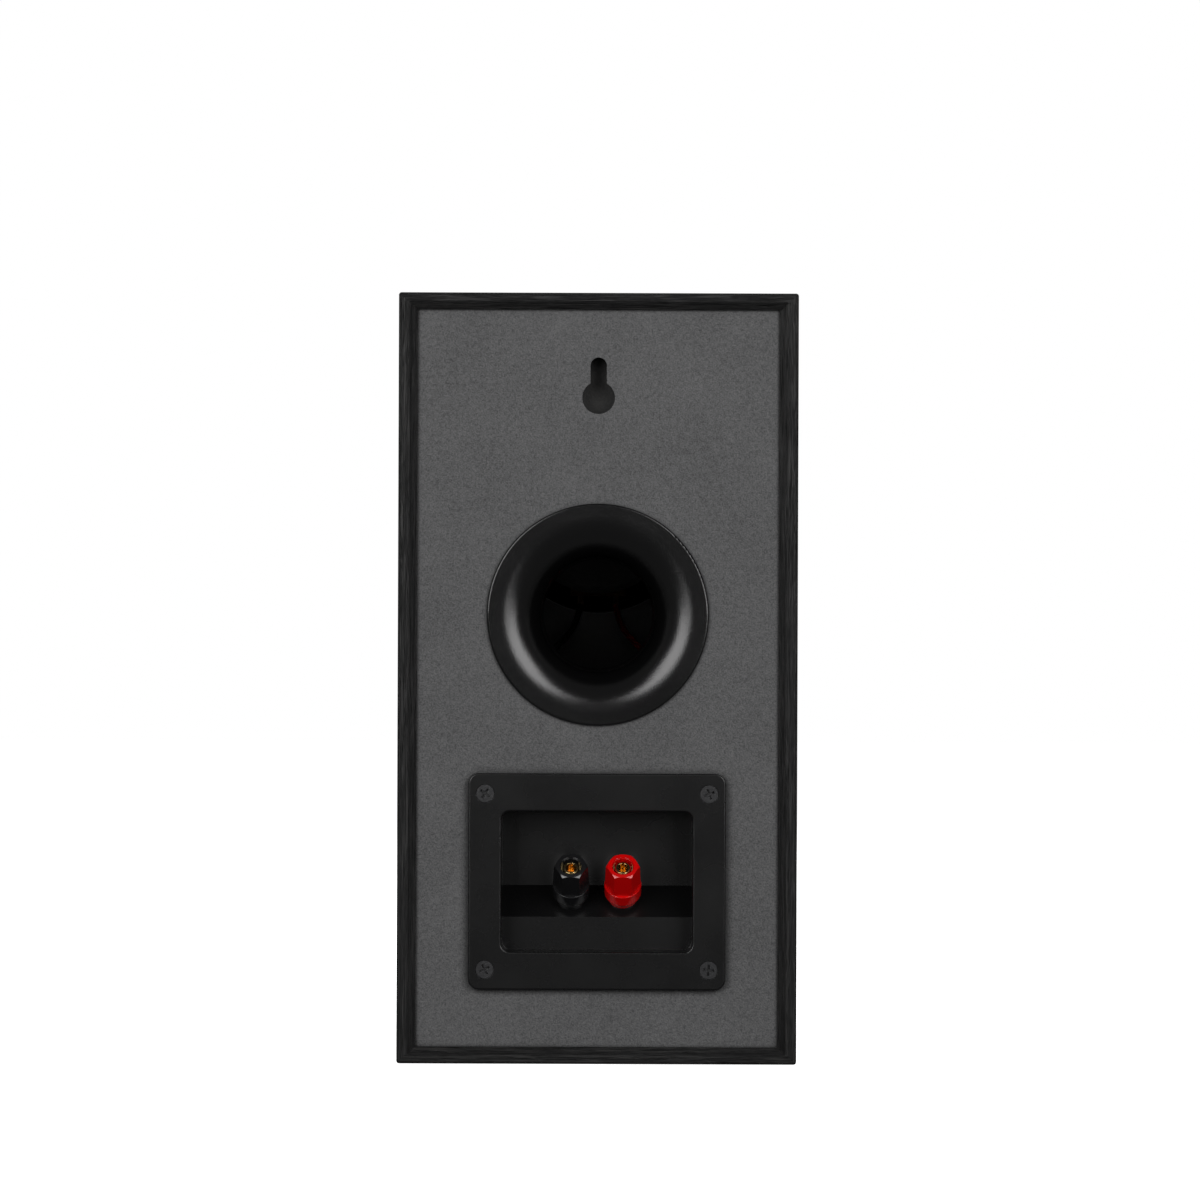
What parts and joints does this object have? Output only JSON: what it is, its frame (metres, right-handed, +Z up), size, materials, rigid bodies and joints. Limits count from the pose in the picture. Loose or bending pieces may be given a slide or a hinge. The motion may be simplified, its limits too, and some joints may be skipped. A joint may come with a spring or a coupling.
{
  "type": "bookshelf speaker",
  "caption": "Two-way bookshelf speaker with a flared rear port, recessed binding posts, keyhole wall slot and a removable magnetic cloth grille.",
  "frame": {"origin": "middle of the bottom of the whole speaker, grille included, on the surface it stands on", "axes": "+Z up, front with drivers and grille towards -Y, rear panel with port and terminals towards +Y, +X to the right when seen from the front"},
  "size_m": [0.146, 0.196, 0.2815],
  "materials": {
    "cabinet_vinyl": "MDF wrapped in black embossed wood-grain vinyl, satin",
    "rear_vinyl": "MDF faced with dark grey stippled vinyl, matte",
    "baffle_paint": "MDF with satin black paint",
    "wadding": "white polyester wadding, soft and fibrous",
    "port_plastic": "black moulded ABS, fine satin texture",
    "cup_plastic": "black moulded ABS, fine texture",
    "gasket_foam": "black closed-cell foam",
    "black_screw": "black oxide steel",
    "gilt_brass": "gold-plated brass",
    "red_plastic": "red translucent-looking moulded acrylic, glossy",
    "black_knob_plastic": "black moulded acrylic, glossy",
    "red_insulator": "red moulded plastic collar",
    "black_insulator": "black moulded plastic collar",
    "zinc_steel": "zinc-plated steel",
    "basket_steel": "pressed steel, black powder coat",
    "butyl_rubber": "black butyl rubber",
    "cone_fibre": "dark grey mineral-filled polypropylene, satin",
    "dust_cap_fibre": "black polypropylene, satin",
    "former_alloy": "aluminium coil former",
    "copper_wire": "enamelled copper wire",
    "spider_cloth": "resin-dipped cotton weave",
    "ferrite": "dark grey ferrite",
    "neodymium": "nickel-plated neodymium",
    "terminal_board": "phenolic board with tinned tabs",
    "dome_silk": "coated black textile",
    "grille_plastic": "black moulded ABS",
    "grille_knit": "black acoustic knit cloth",
    "circuit_board": "green solder-masked fibreglass",
    "nylon": "natural nylon",
    "capacitor_film": "yellow film wrap with epoxy ends",
    "resistor_cement": "white cement body",
    "lead_wire": "flexible insulated lead, one red and one black of each pair"
  },
  "bodies": {
    "cabinet": {"top_panel": "cabinet_vinyl", "bottom_panel": "cabinet_vinyl", "left_side_panel": "cabinet_vinyl", "right_side_panel": "cabinet_vinyl", "front_baffle": "baffle_paint", "rear_panel": "rear_vinyl", "baffle_magnets": "neodymium", "damping_wadding": "wadding", "port_flare": "port_plastic", "port_tube": "port_plastic", "terminal_cup": "cup_plastic", "terminal_gasket": "gasket_foam", "terminal_cup_screws": "black_screw", "red_post_stud": "gilt_brass", "red_post_insulator": "red_insulator", "black_post_stud": "gilt_brass", "black_post_insulator": "black_insulator", "post_washers": "zinc_steel", "post_solder_tabs": "gilt_brass", "post_nuts": "zinc_steel", "woofer_basket": "basket_steel", "woofer_gasket": "gasket_foam", "woofer_surround": "butyl_rubber", "woofer_spider": "spider_cloth", "woofer_gap_plate": "basket_steel", "woofer_magnet": "ferrite", "woofer_yoke": "basket_steel", "woofer_terminals": "terminal_board", "woofer_screws": "black_screw", "tweeter_waveguide": "port_plastic", "tweeter_gasket": "gasket_foam", "tweeter_screws": "black_screw", "tweeter_surround": "dome_silk", "tweeter_gap_plate": "basket_steel", "tweeter_magnet": "ferrite", "tweeter_yoke": "basket_steel", "tweeter_terminals": "terminal_board", "crossover_board": "circuit_board", "crossover_standoffs": "nylon", "crossover_screws": "zinc_steel", "inductor_bobbins": "grille_plastic", "inductor_windings": "copper_wire", "crossover_capacitors": "capacitor_film", "crossover_resistors": "resistor_cement", "input_leads": "lead_wire", "woofer_leads": "lead_wire", "tweeter_leads": "lead_wire"},
    "grille": {"grille_frame": "grille_plastic", "grille_cloth": "grille_knit", "grille_magnets": "neodymium"},
    "woofer_cone": {"woofer_cone": "cone_fibre", "woofer_dust_cap": "dust_cap_fibre", "woofer_coil_former": "former_alloy", "woofer_coil_winding": "copper_wire"},
    "tweeter_dome": {"tweeter_dome": "dome_silk", "tweeter_voice_coil": "copper_wire"},
    "red_knob_carrier": {"red_knob_insert": "gilt_brass"},
    "red_knob": {"red_knob_cap": "red_plastic"},
    "black_knob_carrier": {"black_knob_insert": "gilt_brass"},
    "black_knob": {"black_knob_cap": "black_knob_plastic"}
  },
  "joints": [
    {"name": "grille_pull", "type": "slide", "parent": "cabinet", "child": "grille", "axis": [0, -1, 0], "range_m": [0, 0.05]},
    {"name": "woofer_stroke", "type": "slide", "parent": "cabinet", "child": "woofer_cone", "axis": [0, -1, 0], "range_m": [-0.003, 0.003], "stiffness_N_per_m": 1250, "deforming": ["woofer_surround", "woofer_spider"]},
    {"name": "tweeter_stroke", "type": "slide", "parent": "cabinet", "child": "tweeter_dome", "axis": [0, -1, 0], "range_m": [-0.0003, 0.0003], "stiffness_N_per_m": 2000, "deforming": ["tweeter_surround"]},
    {"name": "red_knob_lift", "type": "slide", "parent": "cabinet", "child": "red_knob_carrier", "axis": [0, 0.7431, 0.6691], "range_m": [0, 0.005]},
    {"name": "red_knob_turn", "type": "hinge", "parent": "red_knob_carrier", "child": "red_knob", "pos_m": [-0.00953, 0.08376, 0.06524], "axis": [0, 0.7431, 0.6691], "range_deg": [0, 1800]},
    {"name": "black_knob_lift", "type": "slide", "parent": "cabinet", "child": "black_knob_carrier", "axis": [0, 0.7431, 0.6691], "range_m": [0, 0.005]},
    {"name": "black_knob_turn", "type": "hinge", "parent": "black_knob_carrier", "child": "black_knob", "pos_m": [0.00953, 0.08376, 0.06524], "axis": [0, 0.7431, 0.6691], "range_deg": [0, 1800]}
  ],
  "couplings": [
    {"joint": "red_knob_turn", "follows": "red_knob_lift", "rad_per_m": 6283.2},
    {"joint": "black_knob_turn", "follows": "black_knob_lift", "rad_per_m": 6283.2}
  ]
}
